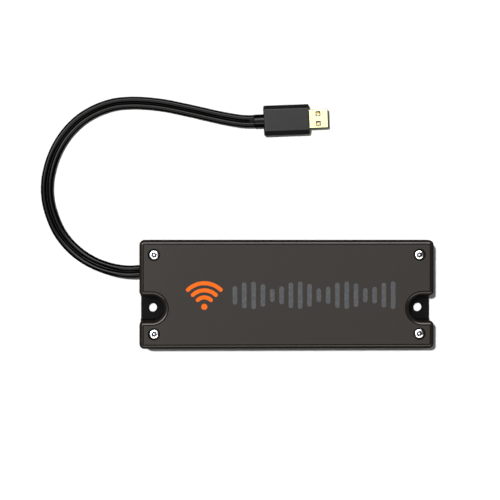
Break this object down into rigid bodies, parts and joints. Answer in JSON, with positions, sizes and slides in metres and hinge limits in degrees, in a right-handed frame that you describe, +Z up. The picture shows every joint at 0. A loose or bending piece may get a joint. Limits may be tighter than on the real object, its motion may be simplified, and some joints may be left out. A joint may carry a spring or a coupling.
{
  "type": "usb radio adapter",
  "caption": "Flat rectangular two-part plastic radio adapter with screw-down lugs in end recesses and a twin USB lead, for a microinverter gateway.",
  "frame": {"origin": "middle of the box's underside, on the surface the box stands on", "axes": "+X along the box, away from the lead; +Y towards the side the lead loops round to; +Z up, out of the cover"},
  "size_m": [0.2466, 0.1585, 0.021],
  "materials": {
    "case_plastic": "fine satin moulded black-grey",
    "base_plastic": "moulded black, matt",
    "cord_jacket": "smooth semi-gloss black",
    "overmold_plastic": "satin moulded dark grey",
    "screw_steel": "bright plated",
    "zinc_steel": "zinc plated",
    "insert_brass": "machined",
    "plug_plating": "pale gold plated steel",
    "contact_gold": "gold plated",
    "board_laminate": "solder resist, satin",
    "module_laminate": "solder resist, satin",
    "chip_resin": "matt moulded resin",
    "connector_nylon": "natural nylon",
    "inductor_ferrite": "pressed ferrite",
    "can_metal": "bright drawn",
    "antenna_bronze": "phosphor bronze",
    "wire_red": "smooth insulation",
    "wire_white": "smooth insulation",
    "wire_green": "smooth insulation",
    "wire_black": "smooth insulation"
  },
  "bodies": {
    "case": {"bottom_case": "base_plastic", "threaded_insert_1": "insert_brass", "threaded_insert_2": "insert_brass", "threaded_insert_3": "insert_brass", "threaded_insert_4": "insert_brass", "main_board": "board_laminate", "board_screw_1": "zinc_steel", "board_screw_2": "zinc_steel", "board_screw_3": "zinc_steel", "board_screw_4": "zinc_steel", "clamp_screw_1": "zinc_steel", "clamp_screw_2": "zinc_steel", "cord_clamp": "chip_resin", "usb_hub_chip": "chip_resin", "microcontroller_chip": "chip_resin", "voltage_regulator": "chip_resin", "cable_socket": "connector_nylon", "cable_plug": "connector_nylon", "usb_tongue": "connector_nylon", "power_wire": "wire_red", "data_minus_wire": "wire_white", "data_plus_wire": "wire_green", "ground_wire": "wire_black", "power_inductor": "inductor_ferrite", "crystal": "can_metal", "reservoir_capacitor": "can_metal", "long_range_shield_can": "can_metal", "mesh_shield_can": "can_metal", "long_range_radio_board": "module_laminate", "mesh_radio_board": "module_laminate", "spring_antenna": "antenna_bronze", "stamped_antenna": "antenna_bronze", "twin_cord": "cord_jacket", "strain_relief": "cord_jacket", "plug_overmold": "overmold_plastic", "usb_shell": "plug_plating", "usb_contact_1": "contact_gold", "usb_contact_2": "contact_gold", "usb_contact_3": "contact_gold", "usb_contact_4": "contact_gold"},
    "cover": {"top_cover": "case_plastic"},
    "screw_1": {"cover_screw_1": "screw_steel"},
    "screw_2": {"cover_screw_2": "screw_steel"},
    "screw_3": {"cover_screw_3": "screw_steel"},
    "screw_4": {"cover_screw_4": "screw_steel"}
  },
  "joints": [
    {"name": "cover_lift", "type": "slide", "parent": "case", "child": "cover", "axis": [0, 0, 1], "range_m": [0, 0.04]},
    {"name": "screw_1_draw", "type": "slide", "parent": "cover", "child": "screw_1", "axis": [0, 0, 1], "range_m": [0, 0.008]},
    {"name": "screw_2_draw", "type": "slide", "parent": "cover", "child": "screw_2", "axis": [0, 0, 1], "range_m": [0, 0.008]},
    {"name": "screw_3_draw", "type": "slide", "parent": "cover", "child": "screw_3", "axis": [0, 0, 1], "range_m": [0, 0.008]},
    {"name": "screw_4_draw", "type": "slide", "parent": "cover", "child": "screw_4", "axis": [0, 0, 1], "range_m": [0, 0.008]}
  ]
}
